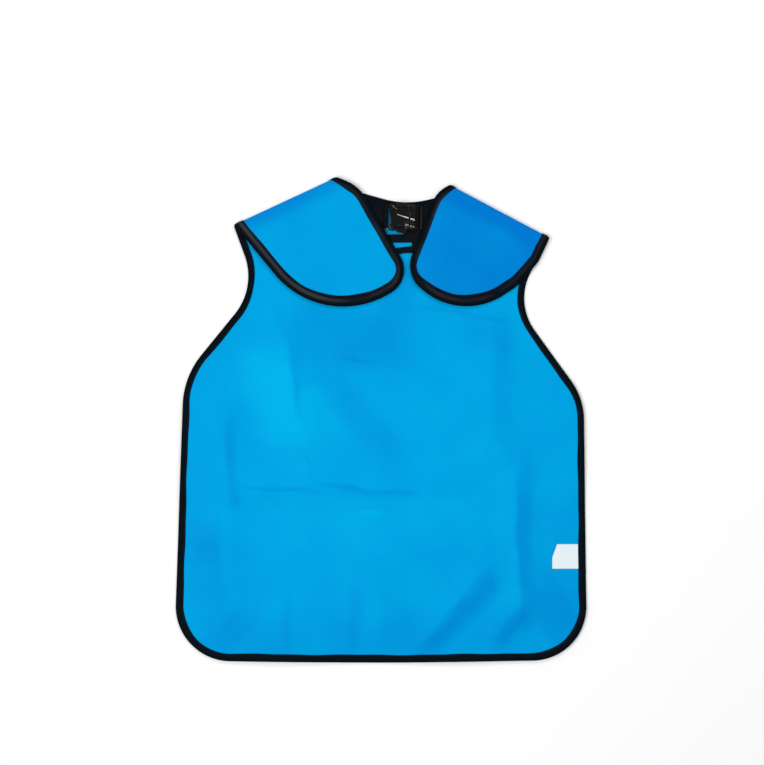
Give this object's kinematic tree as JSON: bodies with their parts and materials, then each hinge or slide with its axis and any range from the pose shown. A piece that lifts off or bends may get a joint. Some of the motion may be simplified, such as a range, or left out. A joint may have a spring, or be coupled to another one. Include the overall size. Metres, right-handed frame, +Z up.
{
  "type": "lead x-ray apron",
  "caption": "Dental patient's x-ray apron: blue lead-lined sheet with black bound edges, shoulder flaps folded forward, a neck strap with a closed buckle, and a hanging loop.",
  "frame": {"origin": "under the middle of the apron, on the surface that it lies on", "axes": "+Z up, +Y towards the neck, +X to the right of someone looking at the front"},
  "size_m": [0.5999, 0.7097, 0.0154],
  "materials": {
    "cover": "blue coated cloth with a dull sheen",
    "binding": "black woven tape",
    "webbing": "black woven webbing",
    "buckle": "glossy black moulded plastic",
    "label": "white satin label cloth"
  },
  "bodies": {
    "root": {"cover_sheet": "cover", "hem_binding": "binding", "neckline_binding": "binding", "left_flap_binding": "binding", "right_flap_binding": "binding", "left_strap": "webbing", "right_strap": "webbing", "hanging_loop": "webbing", "buckle_socket": "buckle", "buckle_plug": "buckle", "side_label": "label"}
  },
  "joints": []
}
